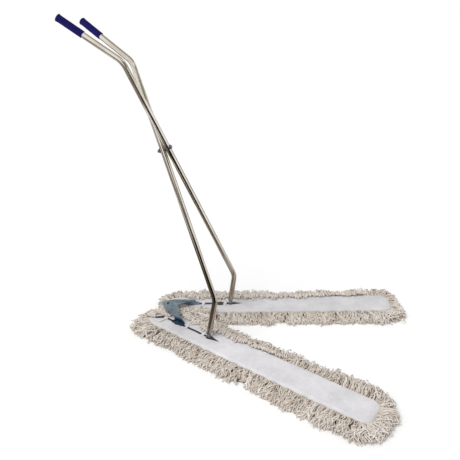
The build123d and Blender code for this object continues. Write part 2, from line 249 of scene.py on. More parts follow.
def newMaterial(name):
    material = bpy.data.materials.new(name)
    material.use_nodes = True
    tree = material.node_tree
    return material, tree, tree.nodes["Principled BSDF"]


def stops(node, *rows):
    # places and colours on a colour ramp
    ramp = node.color_ramp
    for place, _ in rows[1:-1]:
        ramp.elements.new(place)
    for element, (place, colour) in zip(ramp.elements, rows):
        element.position = place
        element.color = linear(colour)
    return node


def chromedDrawnSteel(add, place):
    # steel tube, drawn, polished and chrome plated: a warm mirror with faint cloudy handling marks
    cloud = add("TexNoise", {"Vector": place, "Scale": per(55), "Detail": 5, "Roughness": 0.6})
    tint = stops(add("ValToRGB", {"Fac": cloud}), (0.3, "#ccc3b7"), (0.55, "#e0d9cf"), (0.8, "#e9e4dd"))
    dull = add("MapRange", {"Value": cloud, 1: 0.35, 2: 0.75, 3: 0.06, 4: 0.16})
    # painted reflection: below half a metre the tube is tinted taupe, standing in for the brown surroundings it
    # mirrors there
    height = add("SeparateXYZ", {"Vector": place}).outputs["Z"]
    low = add("MapRange", {"Value": height, 1: 0.46, 2: 0.14, 3: 0, 4: 0.8})
    taupeReflectionBelow = add("Mix", {"Factor": low, 6: tint, 7: linear("#9b8e83")}, data_type="RGBA")
    fine = add("TexNoise", {"Vector": place, "Scale": per(4), "Detail": 2})
    bump = add("Bump", {"Height": fine, "Strength": 0.03, "Distance": 0.001})
    return {"Base Color": taupeReflectionBelow, "Roughness": dull, "Normal": bump, "Metallic": 1}


def zincPlatedPressedSteel(add, place):
    # pressed sheet steel, zinc plated and passivated: blue-grey, mottled in soft flakes, satin
    flake = add("TexVoronoi", {"Vector": place, "Scale": per(13)}, feature="SMOOTH_F1")
    cloud = add("TexNoise", {"Vector": place, "Scale": per(30), "Detail": 5})
    both = add("Math", {0: flake, 1: cloud}, operation="ADD")
    tint = stops(add("ValToRGB", {"Fac": both}), (0.45, "#6f8190"), (0.8, "#8497a8"), (1, "#9aabb9"))
    # painted shade and dark reflection: between 54 and 43 mm above the floor the plate is darkened to navy, most
    # on the right
    where = add("SeparateXYZ", {"Vector": place}).outputs
    lowShade = add("MapRange", {"Value": where["Z"], 1: 0.054, 2: 0.043, 3: 0, 4: 1})
    rightShade = add("MapRange", {"Value": where["Y"], 1: 0.03, 2: -0.03, 3: 0.05, 4: 0.82})
    paintedShade = add("Math", {0: lowShade, 1: rightShade}, operation="MULTIPLY")
    shadedTint = add("Mix", {"Factor": paintedShade, 6: tint, 7: linear("#1f4868")}, data_type="RGBA")
    # painted shade: near black inside the drawn hanging hole, by the distance from its axis
    level = add("VectorMath", {0: place, 1: (1, 1, 0)}, operation="MULTIPLY")
    hole = frame["record"]["mounts"][-1]["pos_m"]
    axis = add("VectorMath", {0: level, 1: (*hole[:2], 0)}, operation="DISTANCE")
    holeShade = add("MapRange", {"Value": axis, 1: 0.0068, 2: 0.0056, 3: 0, 4: 1})
    plateWithShades = add("Mix", {"Factor": holeShade, 6: shadedTint, 7: linear("#05070a")}, data_type="RGBA")
    dull = add("MapRange", {"Value": cloud, 1: 0.3, 2: 0.7, 3: 0.3, 4: 0.46})
    bump = add("Bump", {"Height": cloud, "Strength": 0.12, "Distance": 0.001})
    return {"Base Color": plateWithShades, "Roughness": dull, "Normal": bump, "Metallic": 0.85}


def zincPlatedTurnedSteel(add, place):
    # turned steel, bright zinc: a clouded grey, satin, that the eye takes as a soft gloss
    cloud = add("TexNoise", {"Vector": place, "Scale": per(9), "Detail": 4})
    tint = stops(add("ValToRGB", {"Fac": cloud}), (0.3, "#7d8083"), (0.5, "#9ea1a3"), (0.7, "#b6b7b7"))
    dull = add("MapRange", {"Value": cloud, 1: 0.3, 2: 0.7, 3: 0.22, 4: 0.4})
    bump = add("Bump", {"Height": cloud, "Strength": 0.08, "Distance": 0.0006})
    return {"Base Color": tint, "Roughness": dull, "Normal": bump, "Metallic": 1}


def oiledColdRolledSteel(add, place):
    # cold rolled rod and strip, oiled: dark grey with cloudy patches, satin
    cloud = add("TexNoise", {"Vector": place, "Scale": per(12), "Detail": 6, "Roughness": 0.65})
    tint = stops(add("ValToRGB", {"Fac": cloud}), (0.3, "#3a3937"), (0.55, "#524f4c"), (0.75, "#696663"))
    bump = add("Bump", {"Height": cloud, "Strength": 0.3, "Distance": 0.0006})
    return {"Base Color": tint, "Roughness": 0.5, "Normal": bump, "Metallic": 0.7}


def dipMouldedVinyl(add, place):
    # plasticised vinyl, dip moulded: deep indigo, soft satin gloss over a fine leathery pimple
    cloud = add("TexNoise", {"Vector": place, "Scale": per(25), "Detail": 3})
    tint = stops(add("ValToRGB", {"Fac": cloud}), (0.3, "#120e50"), (0.5, "#18135a"), (0.7, "#201a65"))
    # the pimple is about half a millimetre, drawn at 1.6 so that it shows
    pimple = add("TexNoise", {"Vector": place, "Scale": per(1.6), "Detail": 2})
    bump = add("Bump", {"Height": pimple, "Strength": 0.25, "Distance": 0.0005})
    dull = add("MapRange", {"Value": cloud, 1: 0.3, 2: 0.7, 3: 0.34, 4: 0.5})
    return {"Base Color": tint, "Roughness": dull, "Normal": bump, "IOR": 1.53, "Specular IOR Level": 0.1}


def plainWovenCanvas(add, place, run):
    # bleached cotton canvas, plain woven: cool white, matt, with a thread grid and faint laundering greys
    # threads lie about 0.8 mm apart, drawn at 2.6 so that the grid shows
    threads = {"Vector": run, "Scale": waveBand * per(2.6), "Distortion": 1.2, "Detail": 1}
    warp = add("TexWave", threads, bands_direction="X").outputs["Fac"]
    weft = add("TexWave", threads, bands_direction="Y").outputs["Fac"]
    weave = add("Math", {0: warp, 1: weft}, operation="ADD")
    soil = add("TexNoise", {"Vector": place, "Scale": per(70), "Detail": 6, "Roughness": 0.6})
    tint = stops(add("ValToRGB", {"Fac": soil}), (0.3, "#d0cfd3"), (0.5, "#dedcdf"), (0.68, "#e8e6e8"))
    # greyer on the left mop, and painted shade greyer towards the apex
    where = add("SeparateXYZ", {"Vector": place}).outputs
    apexShade = add("MapRange", {"Value": where["X"], 1: -0.05, 2: -0.22, 3: 0, 4: 1})
    leftMopGrey = add("MapRange", {"Value": where["Y"], 1: 0, 2: 0.02, 3: 0, 4: 0.75})
    grey = add("Math", {0: apexShade, 1: leftMopGrey}, operation="MAXIMUM")
    greyedTint = add("Mix", {"Factor": grey, 6: tint, 7: linear("#f0f0ee")}, **darken)
    fold = add("TexNoise", {"Vector": place, "Scale": per(26), "Detail": 3})
    folds = add("Bump", {"Height": fold, "Strength": 0.35, "Distance": 0.002})
    bump = add("Bump", {"Height": weave, "Strength": 0.3, "Distance": 0.0005, "Normal": folds})
    return {"Base Color": greyedTint, "Roughness": 0.9, "Normal": bump, "Sheen Weight": 0.15}


def twistedCottonYarn(add, place, run):
    # four-ply cotton yarn, spun and twisted: cream, every strand its own tone, with painted shade darker towards
    # its root
    tone = add("Attribute", {}, attribute_name="tone").outputs["Fac"]
    shadeDepth = add("Attribute", {}, attribute_name="shadeDepth").outputs["Fac"]
    tint = stops(add("ValToRGB", {"Fac": tone}),
                 (0, "#4f4136"), (0.25, "#dfd4ca"), (0.65, "#ede6de"), (1, "#fbf8f4"))
    shade = stops(add("ValToRGB", {"Fac": shadeDepth}),
                  (0, "#7d6b5d"), (0.3, "#d6ccc2"), (0.6, "#f8f5f1"), (1, "#ffffff"))
    fuzz = add("TexNoise", {"Vector": place, "Scale": per(5), "Detail": 4})
    speck = stops(add("ValToRGB", {"Fac": fuzz}), (0.3, "#e2dcd6"), (0.6, "#ffffff"))
    # painted shade: the tint darkened by the shade ramp, then speckled with fuzz
    deep = add("Mix", {"Factor": 1, 6: tint, 7: shade}, **darken)
    specksAndShade = add("Mix", {"Factor": 1, 6: deep, 7: speck}, **darken)
    # the plies wind once round in 7 mm: bands on (turns round + length / 7 mm), two in one turn
    part = add("SeparateXYZ", {"Vector": run}).outputs
    wound = add("Math", {0: part["Y"], 1: per(7), 2: part["X"]}, operation="MULTIPLY_ADD")
    line = add("CombineXYZ", {"X": wound})
    ply = add("TexWave", {"Vector": line, "Scale": waveBand * 2}, bands_direction="X")
    bump = add("Bump", {"Height": ply.outputs["Fac"], "Strength": 0.6, "Distance": 0.0008})
    return {"Base Color": specksAndShade, "Roughness": 0.95, "Normal": bump, "Sheen Weight": 0.2}


def spunPolyesterThread(add, run):
    # spun polyester thread, twisted: white, a little brighter than the canvas
    ply = add("TexWave", {"Vector": run, "Scale": waveBand * per(1.2)}, bands_direction="DIAGONAL")
    tint = stops(add("ValToRGB", {"Fac": ply.outputs["Fac"]}), (0.2, "#d2d0d6"), (0.8, "#efeef2"))
    return {"Base Color": tint, "Roughness": 0.6}


def makeFinish(build, *coordinates):
    # a material named as its function, which adds the nodes and says what the shader's inputs are given,
    # from the place on the object and the run along and across the cloth or strand
    material, tree, shader = newMaterial(build.__name__)
    add = partial(addNode, tree)
    spots = add("TexCoord", {}).outputs
    feed(tree, shader, build(add, *[spots[word] for word in coordinates]))
    return material


finish = {
    "chrome_tube": makeFinish(chromedDrawnSteel, "Object"),
    "zinc_plate": makeFinish(zincPlatedPressedSteel, "Object"),
    "plated_steel": makeFinish(zincPlatedTurnedSteel, "Object"),
    "frame_steel": makeFinish(oiledColdRolledSteel, "Object"),
    "navy_vinyl": makeFinish(dipMouldedVinyl, "Object"),
    "white_canvas": makeFinish(plainWovenCanvas, "Object", "UV"),
    "cotton_yarn": makeFinish(twistedCottonYarn, "Object", "UV"),
}
thread = makeFinish(spunPolyesterThread, "UV")
slotOf = {row["node"]: row["material_slot"] for row in frame["record"]["subparts"]}
for name, node in nodes.items():
    # the hinge rivets take the plate's finish, its painted shade low on the right included
    sharesPlateShade = name.endswith("hinge_rivet")
    node.data.materials.clear()
    node.data.materials.append(finish["zinc_plate" if sharesPlateShade else slotOf[name]])
print("materials:", len(finish) + 1, "finishes on", len(nodes), "nodes")


def settle(piece, word, slot, *replaced, look=None):
    # every piece rides on its mop, has its slot's finish and hides the nodes it replaces
    piece.data.materials.append(look or finish[slot])
    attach(piece, word + "_mop")
    if replaced:
        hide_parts(*[word + "_" + node for node in replaced])


fringe = {
    "reach": 0.062,
    "endReach": 0.10,  # further at the two ends, as a share
    # and this share more or less round some directions of the edge's normal, in degrees, 0 is to the tip and
    # 90 outwards, fading with this power of the cosine
    "lobes": {
        "left": ((-0.45, 180, 1), (-0.38, 0, 3)),
        "right": ((-0.52, -175, 3), (0.12, 125, 4), (-0.24, -29, 3)),
    },
    "radius": 0.0023,
    "rings": 16,
    "spacing": 0.0042,
    "scatter": (-0.45, 0.45),  # along the edge, in spacings
    "rowShift": 0.3,  # from one row to the next, in spacings
    "clump": (0.014, 0.032),
    "fan": 0.030,  # strands are spaced evenly this far out
    # spreads between clumps, and between the strands of one
    "lean": (0.010, 0.013),
    "lift": (0.002, 0.003),
    "uneven": (0.06, 0.11),  # in reach, as shares
    "short": (0.27, 0.12),  # so much is off the reach in this share of the clumps
    "gather": (0.05, 0.55),  # share of the way to the clump's middle
    "hook": 0.009,  # spread of how far the tips bend along the edge
    # start out from the cover's edge, root height, tip height lying and standing, hump lying and standing
    # and share of the reach, from the top row down
    "rows": (
        (-0.001, 0.0250, 0.0060, 0.0265, 0.0025, 0.0060, 0.92),
        (-0.003, 0.0210, 0.0045, 0.0200, 0.0045, 0.0085, 1.02),
        (-0.005, 0.0160, 0.0040, 0.0130, 0.0055, 0.0090, 1.04),
        (-0.006, 0.0110, 0.0035, 0.0080, 0.0050, 0.0070, 1.02),
        (-0.006, 0.0060, 0.0030, 0.0035, 0.0030, 0.0040, 0.98),
    ),
    "sink": 0.0025,  # roots are lower by this where the yarn lies
    "curl": (0.0026, 0.0064),
    "turns": (1.1, 2.5),
    "tone": (0.61, 0.26, 0.10),  # middle, spread between strands and between clumps
    "rowTone": 0.04,  # darker from row to row
    # painted shade along each strand, 1 is unshaded:
    "shadeDepth": (0.5, 0.12, 0.6),  # of the top row's root, less from row to row, more at the tip
    "wornTone": 0.45,  # dark strands are worn pale to this at their tips
    # how far the yarn stands up along each side, at places along the mop: 0 lies, 1 stands
    "stand": {
        "leftOuter": ((0, 0.7), (0.4, 0.5), (0.5, 0.3), (0.8, 0.3), (0.9, 0.9), (1, 0.9)),
        "leftInner": ((0, 1.3), (0.12, 1.1), (0.2, 0.5), (0.3, 0), (0.8, 0), (0.92, 0.7), (1, 0.7)),
        "rightOuter": ((0, 0.5), (0.16, 0.5), (0.3, 0), (0.8, 0), (0.92, 0.6), (1, 0.6)),
        "rightInner": ((0, 1.3), (0.2, 1), (0.4, 0.5), (0.7, 0.4), (0.8, 1.1), (0.92, 1.3), (1, 1)),
    },
    "middle": 0.0006,  # nothing comes nearer to the middle plane of the V
    "innerCuts": (0.9, 0.7, 0.48, 0.29, 0.1),  # between the pieces of the inner side, along the mop
    "seed": {"left": 11, "right": 29},
}
flop = {
    # strands that have turned back and lie on the cover: how far, at places along each side of the mop
    "leftOuter": ((0.07, 0), (0.10, 0.034), (0.12, 0.027), (0.15, 0.028), (0.18, 0.036),
                  (0.62, 0.037), (0.70, 0.018), (0.85, 0.016), (0.9, 0)),
    "leftInner": ((0.02, 0), (0.04, 0.036), (0.08, 0.030), (0.14, 0.030), (0.18, 0.012), (0.22, 0)),
    "rightOuter": ((0, 0), (1, 0)),
    "rightInner": ((0, 0.046), (0.05, 0.048), (0.075, 0.028), (0.15, 0.028), (0.2, 0.052), (0.27, 0.042),
                   (0.33, 0.030), (0.42, 0.024), (0.52, 0.010), (0.6, 0)),
    "sines": (0.6, -0.2),  # of the edge's direction: more is the outer side, less the inner one
    "end": {"left": 0.0, "right": 0.024},  # and over the apex end
    "endTurn": (-170, 32),  # round this direction, to either side, in degrees
    "waves": ((0.25, 0.113, 0), (0.20, 0.047, 1)),  # height as a share, length and phase
    "least": 0.003,
    "spacing": 0.0018,
    "uneven": (0.5, 1.1),
    "root": (0.004, 0.020),  # out from the edge, height
    "bulge": 0.034,
    "crest": (0.042, 0.052),
    "tip": (0.0366, 0.0415),  # height
    "lean": 0.014,
    "curl": (0.0016, 0.0046),
    "tone": (0.6, 0.2),
    "seed": {"left": 61, "right": 79},
}
fan = edgeRun(fringe["fan"])  # the outline that the strands are spaced along


def onEdge(at, out):
    # from the place along the fan's outline, along its normal, to this far out of the cover's edge
    distance, s, t, turn = fan
    at = at % distance[-1]
    out = out - fringe["fan"]
    angle = np.interp(at, distance, turn)
    s = np.interp(at, distance, s) + out * np.cos(angle)
    t = np.interp(at, distance, t) + out * np.sin(angle)
    return s, t, angle


def reachTo(word, s, t, turn, reach):
    # the reach x (1 + share x cosine to a power) for every lobe, then the smooth smaller of that and the room
    # before the middle plane
    share, direction, power = np.array(fringe["lobes"][word]).T
    near = np.clip(np.cos(turn[..., None] - np.radians(direction)), 0, 1) ** power
    reach = reach * np.prod(1 + share * near, axis=-1)
    nearing = -np.cos(turn) * along[1] - np.sin(turn) * across[1]
    room = toWorld(word, s, t, 0.0)[..., 1] - fringe["middle"] - fringe["radius"]
    leastRoom = 0.004
    room = np.maximum(room / np.maximum(nearing, 1e-3), leastRoom)
    return (reach ** -4 + room ** -4) ** -0.25


def yarnPoints(word, at, out, z):
    # points off the edge, with a soft stop at the middle plane and a hard one at the floor
    s, t, _ = onEdge(at, out)
    points = toWorld(word, s, t, z)
    soft, offFloor = 0.003, 0.0003
    low = fringe["middle"] + fringe["radius"]
    points[..., 1] = low + soft * np.logaddexp(0, (points[..., 1] - low) / soft)
    points[..., 2] = np.maximum(points[..., 2], fringe["radius"] + offFloor)
    return points


def between(rows, s):
    # a value given at places along the mop, worked out between them
    places, values = np.array(rows).T
    return np.interp(s, places, values)


def standAt(word, s, turn):
    # the outer and the inner side's values, mixed by where the edge's normal points
    outerShare = 0.5 + 0.5 * np.sin(turn)
    outer = between(fringe["stand"][word + "Outer"], s)
    return outer * outerShare + between(fringe["stand"][word + "Inner"], s) * (1 - outerShare)


def yarnStrands(word):
    # each strand runs out along the edge's normal to its reach, humped, on a helix that widens to the tip,
    # leaning with its clump and drawn to the clump's middle
    dice = np.random.default_rng(fringe["seed"][word])
    total = fan[0][-1]
    perRow = int(total / fringe["spacing"])
    rows = np.array(fringe["rows"])
    count = perRow * len(rows)
    row = np.repeat(np.arange(len(rows)), perRow)
    place = np.tile(np.arange(perRow), len(rows)) + dice.uniform(*fringe["scatter"], count)
    place = (place + fringe["rowShift"] * row) * total / perRow % total
    start, root, tipLow, tipHigh, humpLow, humpHigh, share = rows[row].T[:, :, None]
    # clumps: 400 are more than enough, and the last is at least 15 mm long
    bounds = np.cumsum(dice.uniform(*fringe["clump"], 400))
    bounds = np.concatenate([[0], bounds[bounds < total - 0.015], [total]])
    clump = np.searchsorted(bounds, place, side="right") - 1
    clumps = len(bounds) - 1
    middle = ((bounds[1:] + bounds[:-1]) / 2)[clump]

    def spread(ofClumps, ofStrands):
        return dice.normal(0, ofClumps, clumps)[clump][:, None] + dice.normal(0, ofStrands, (count, 1))

    lean = spread(*fringe["lean"])
    gather = dice.uniform(*fringe["gather"], clumps)[clump][:, None]
    less, often = fringe["short"]
    clumpReach = 1 + dice.normal(0, fringe["uneven"][0], clumps) - less * (dice.random(clumps) < often)
    lift = spread(*fringe["lift"])
    # one strand
    q = np.linspace(0, 1, fringe["rings"])
    curl = dice.uniform(*fringe["curl"], (count, 1)) * (0.3 + 0.7 * q)
    turns = dice.uniform(*fringe["turns"], (count, 1)) * np.where(dice.random((count, 1)) < 0.5, -1, 1)
    phase = dice.uniform(0, tau, (count, 1))
    wind = tau * turns * q + phase
    aside = curl * (np.cos(wind) - (1 - q) * np.cos(phase))
    above = curl * (np.sin(wind) - (1 - q) * np.sin(phase))
    hook = dice.normal(0, fringe["hook"], (count, 1)) * np.clip(2 * q - 1, 0, 1) ** 2
    at = place[:, None] + lean * q ** 1.3 + gather * (middle - place)[:, None] * q ** 1.4 + aside + hook
    s, t, turn = onEdge(at, 0)
    strandReach = 1 + dice.normal(0, fringe["uneven"][1], count)
    reach = fringe["reach"] * share * (clumpReach[clump] * strandReach)[:, None]
    reach = reachTo(word, s, t, turn, reach * (1 + fringe["endReach"] * np.cos(turn) ** 2))
    out = start + (reach - start) * q + 0.6 * curl * np.sin(wind + 1)
    stand = standAt(word, s, turn)
    tip = tipLow + (tipHigh - tipLow) * stand
    hump = humpLow + (humpHigh - humpLow) * stand
    root = root - fringe["sink"] * np.clip(1 - stand, 0, 1)
    z = root + (tip - root) * q + hump * np.sin(np.pi * q ** 1.5) + lift * q + 0.85 * above
    toneMiddle, ofStrands, ofClumps = fringe["tone"]
    tone = dice.normal(toneMiddle, ofStrands, count) - fringe["rowTone"] * row
    tone = np.clip(tone + ofClumps * dice.normal(0, 1, clumps)[clump], 0.02, 1)
    # painted shade: lighter from the root out to the tip, darker on each lower row
    first, less, more = fringe["shadeDepth"]
    shadeDepth = np.clip(first - less * row[:, None] + more * q, 0, 1)
    return {"paths": yarnPoints(word, at, out, z), "place": place, "tone": tone, "shadeDepth": shadeDepth}


def floppedStrands(word):
    # a parabola from under the hem, out and up round it and back over the cover, on a small helix
    dice = np.random.default_rng(flop["seed"][word])
    total = fan[0][-1]
    count = int(total / flop["spacing"])
    place = (np.arange(count) + dice.uniform(*fringe["scatter"], count)) * total / count % total
    s, _, turn = onEdge(place, 0)
    outerFrom, innerFrom = flop["sines"]
    over = np.where(np.sin(turn) > outerFrom, between(flop[word + "Outer"], s), 0)
    over = np.where(np.sin(turn) < innerFrom, between(flop[word + "Inner"], s), over)
    endTurn, toEitherSide = np.radians(flop["endTurn"])
    atEnd = np.cos(turn - endTurn) > np.cos(toEitherSide)
    over = np.maximum(over, np.where(atEnd, flop["end"][word], 0))
    height, length, phase = np.array(flop["waves"]).T
    over = over * (0.85 + (height * np.sin(tau * s[:, None] / length + phase)).sum(axis=1))
    lies = over > flop["least"]
    place, over = place[lies], over[lies]
    count = len(place)
    over = over[:, None] * dice.uniform(*flop["uneven"], (count, 1))
    crest = dice.uniform(*flop["crest"], (count, 1))
    tip = dice.uniform(*flop["tip"], (count, 1))
    q = np.linspace(0, 1, fringe["rings"])
    curl = dice.uniform(*flop["curl"], (count, 1)) * (0.3 + 0.7 * q)
    turns = dice.uniform(*fringe["turns"], (count, 1))
    wind = tau * turns * q + dice.uniform(0, tau, (count, 1))
    lean = dice.normal(0, flop["lean"], (count, 1))
    at = place[:, None] + lean * q ** 1.3 + curl * np.cos(wind)
    rootOut, rootHeight = flop["root"]
    out = rootOut * (1 - q) ** 2 + flop["bulge"] * q * (1 - q) - over * q ** 2
    out = out + 0.6 * curl * np.sin(wind + 1)
    z = rootHeight * (1 - q) ** 2 + 2 * crest * q * (1 - q) + tip * q ** 2 + 0.5 * curl * np.sin(wind)
    z = np.maximum(z, np.where(out < -rootOut, mop["top"] + fringe["radius"], 0))
    tone = np.clip(dice.normal(*flop["tone"], count), 0.12, 1)
    # painted shade: lighter from the root to the tip
    shadeDepth = np.broadcast_to(0.45 + 0.55 * q, (count, fringe["rings"]))
    return {"paths": yarnPoints(word, at, out, z), "place": place, "tone": tone, "shadeDepth": shadeDepth}


core = {
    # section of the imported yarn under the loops: out from the cover's edge, height lying and standing
    "section": (
        (-0.006, 0.0035, 0.0035),
        (0.022, 0.0030, 0.0030),
        (0.040, 0.0032, 0.0040),
        (0.048, 0.0042, 0.0100),
        (0.044, 0.0060, 0.0170),
        (0.032, 0.0095, 0.0205),
        (0.016, 0.0150, 0.0195),
        (-0.006, 0.0170, 0.0170),
    ),
    "step": 0.006,
    "swell": ((0.07, 0.031), (0.06, 0.0187)),  # height as a share and length of two waves
    # painted shade: the packed core is coloured a dark brown, darkest in its shade, so that the gaps between the
    # strands read dark
    "tone": 0.14,
    "shadeDepth": 0.1,
}


def yarnCore(word, start, end, seed):
    # the section carried along the outline, each point swelling and shrinking with two sine waves
    dice = np.random.default_rng(seed)
    rows = max(int((end - start) / core["step"]), 4)
    at = np.linspace(start, end, rows)[:, None]
    wide, low, high = np.array(core["section"]).T[:, None]
    spots = wide.size
    phase = dice.uniform(0, tau, (2, 1, spots))
    share, length = np.array(core["swell"]).T[:, :, None, None]
    swell = 1 + (share * np.sin(tau * at / length + phase)).sum(axis=0)
    s, t, turn = onEdge(at, 0)
    reach = reachTo(word, s, t, turn, fringe["reach"]) / fringe["reach"]
    height = low + (high - low) * np.minimum(standAt(word, s, turn), 1.2)
    out = wide * swell * np.where(wide > 0, reach, 1.0)
    points = yarnPoints(word, at, out, height * swell)
    wall = gridFaces(rows, spots, wrap=True)
    cap = np.array([[0, 1, 2, 7], [7, 2, 3, 6], [6, 3, 4, 5]])  # closes the section of eight points
    faces = np.concatenate([wall, cap, cap[:, ::-1] + (rows - 1) * spots])
    return points.reshape(-1, 3), faces


def strandPiece(name, side, strands, chosen, rest):
    # the chosen strands as tubes, and a second shape in the same mesh, with tone and painted shade at every point
    paths = strands["paths"][chosen]
    points, faces, uv = sweepTubes(paths, fringe["radius"])
    restPoints, restFaces = rest
    uv = np.concatenate([uv, np.zeros((len(restFaces), 4, 2))])
    pale = fringe["wornTone"] * np.linspace(0, 1, paths.shape[1]) ** 1.5
    marks = {"tone": np.maximum(strands["tone"][chosen][:, None], pale), "shadeDepth": strands["shadeDepth"][chosen]}
    for word, values in marks.items():
        values = np.repeat(values.ravel(), len(points) // values.size)
        marks[word] = np.concatenate([values, np.full(len(restPoints), core[word])])
    faces = np.concatenate([faces, restFaces + len(points)])
    return makePiece(name, np.concatenate([points, restPoints]), faces, side, uv, marks)


crumple = {
    # the fringe's pieces, from the apex end round the tip and back. For the inner yarn, which crumples against its
    # cover as the V closes: share of its thickness that is left, and where it is pressed to, in half widths;
    # nothing here crumples it
    "OuterFringeApex": (None, 0),
    "OuterFringeTip": (None, 0),
    "InnerFringeTip": (0.68, 0),
    "InnerFringeFour": (0.43, -1),
    "InnerFringeThree": (0.36, -1),
    "InnerFringeTwo": (0.32, -1),
    "InnerFringeOne": (0.31, -1),
    "InnerFringeApex": (0.90, 0),
}


def makeFringe(word, side):
    flat, turned = yarnStrands(word), floppedStrands(word)
    strands = {name: np.concatenate([flat[name], turned[name]]) for name in flat}
    distance, corner = fan[0], mop["cornerPoints"]
    tipMiddle = (distance[2 * corner] + distance[2 * corner + 1]) / 2
    innerStart = distance[3 * corner]  # where the inner side leaves the tip corner
    edges = mop["length"] - mop["tipRadius"] - np.array(fringe["innerCuts"])
    cuts = [0, tipMiddle / 2, tipMiddle, *(innerStart + edges), distance[-1]]
    for number, (name, (keep, pressedTo)) in enumerate(crumple.items()):
        start, end = cuts[number], cuts[number + 1]
        chosen = (strands["place"] >= start) & (strands["place"] < end)
        packed = yarnCore(word, start, end, number + fringe["seed"][word])
        piece = strandPiece(word + name, side, strands, chosen, packed)
        settle(piece, word, "cotton_yarn", "fringe_inner" if number > 1 else "fringe_outer")
        if keep:
            anchor = toWorld(word, 0.5, pressedTo * mop["halfWidth"], 0.02) * (1, side, 1)
            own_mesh(piece)
    print(word, "fringe:", len(strands["place"]), "strands in", len(crumple), "pieces")


def arc(radius, x):
    # the height of a circle at x from its middle, nothing beyond it
    return np.sqrt(np.clip(radius ** 2 - x ** 2, 0, None))


def halfWidths(s, inset):
    # the outline's reach to its outer and inner side at s, this far inside its edge
    half, end, apex, tip = outline
    tipSide = half - tip + arc(tip - inset, np.maximum(s - end + tip, 0))
    sides = [half - radius + arc(radius - inset, np.minimum(s - radius, 0)) for radius in (apex, half)]
    return np.minimum(sides, tipSide)


pad = {
    "inset": 0.003,
    "top": 0.0196,
    "bottom": 0.0052,
    "spacing": 0.0062,
    "strandHeights": (0.0026, 0.0058),
    "ends": 0.006,  # from the cover's ends to the first and last strand
    "scatter": (-0.0015, 0.0015),
    "turnUp": 0.009,  # of the strands at the mop's sides
    "ripple": 0.0006,
    "wave": (0.0012, 0.0036),
    "lump": 0.0008,
    "columns": 10,
    "seed": {"left": 111, "right": 129},
}


def makePad(word, side):
    # yarn laid to and fro across the mop in two layers, each strand a shallow tray with waves,
    # under a thick felted backing whose section follows the outline
    dice = np.random.default_rng(pad["seed"][word])
    inset, end, ends = pad["inset"], mop["length"], pad["ends"]
    perLayer = int((end - 2 * ends) / pad["spacing"])
    s = np.tile(np.linspace(ends, end - ends, perLayer), 2)[:, None]
    s = s + dice.uniform(*pad["scatter"], s.shape)
    level = np.repeat(pad["strandHeights"], perLayer)[:, None]
    outer, inner = halfWidths(s, inset + 0.002)
    q = np.linspace(0, 1, fringe["rings"])
    phase = dice.uniform(0, tau, (2, *s.shape))
    t = -inner + (outer + inner) * q
    z = level + pad["turnUp"] * np.abs(2 * q - 1) ** 9
    z = z + pad["ripple"] * (1 + np.sin(tau * 2.3 * q + phase[0]))
    wave = dice.uniform(*pad["wave"], s.shape) * np.sin(tau * 1.8 * q + phase[1])
    strands = {
        "paths": toWorld(word, np.clip(s + wave, 0.004, end - 0.004), t, z),
        "tone": np.clip(dice.normal(0.5, 0.2, len(s)), 0, 1),
        # painted shade: the strands a little darker all along
        "shadeDepth": np.full(t.shape, 0.8),
    }
    # rows of the backing, closer over the round ends
    apexRows = inset + 0.06 * np.linspace(0, 1, 12) ** 2
    tipRows = end - inset - 0.035 * np.linspace(1, 0, 10) ** 2
    rows = np.concatenate([apexRows, np.linspace(0.075, end - 0.05, 60), tipRows])[:, None]
    outer, inner = halfWidths(rows, inset)
    columns = pad["columns"]
    over = np.linspace(0, 1, columns)
    under = -inner + (outer + inner) * over
    lump = np.sin(rows * 210 + 9 * over) * np.sin(rows * 47)
    section = np.concatenate([under, under[:, ::-1]], axis=1)
    height = np.concatenate([pad["bottom"] + pad["lump"] * lump, np.full_like(under, pad["top"])], axis=1)
    points = toWorld(word, rows, section, height).reshape(-1, 3)
    wall = gridFaces(len(rows), 2 * columns, wrap=True)
    j = np.arange(columns - 1)
    cap = np.stack([j, 2 * columns - 1 - j, 2 * columns - 2 - j, j + 1], axis=-1)
    faces = np.concatenate([wall, cap, cap[:, ::-1] + (len(rows) - 1) * 2 * columns])[:, ::-1]
    # the backing takes the core's dark tone and painted shade
    piece = strandPiece(word + "YarnPad", side, strands, slice(None), (points, faces))
    settle(piece, word, "cotton_yarn", "yarn_pad")
    print(word, "pad:", len(s), "strands across it")


slit = {
    "start": 0.024,
    "half": {"left": 0.0080, "right": 0.0056},
    "hingeHole": 0.014,
    "footHole": 0.0125,
    "end": 0.331,
    "endHalf": 0.0015,
    "lip": 0.0009,  # how far the sewn edge turns down
    "lipFade": 0.0025,
    "lipPast": (0.001, 0.004),  # how far past the start and the end of the slit
    "bend": (0.075, 0.058),  # the start lies this far outwards, and it runs straight from here on
    "bendRise": 0.004,
    # one place where it gapes: how far along, its spread and how far it opens
    "gape": {"left": (0.236, 0.020, 0.0080), "right": (0.036, 0.010, 0.0055)},
}


def slitMiddle(s):
    # a parabola that leaves the mop's middle line near the apex, back on it at the very end
    out, straight = slit["bend"]
    atEnd = np.clip((s - mop["rounding"]) / slit["bendRise"], 0, 1)
    return out * np.clip(1 - s / straight, 0, 1) ** 2 * atEnd


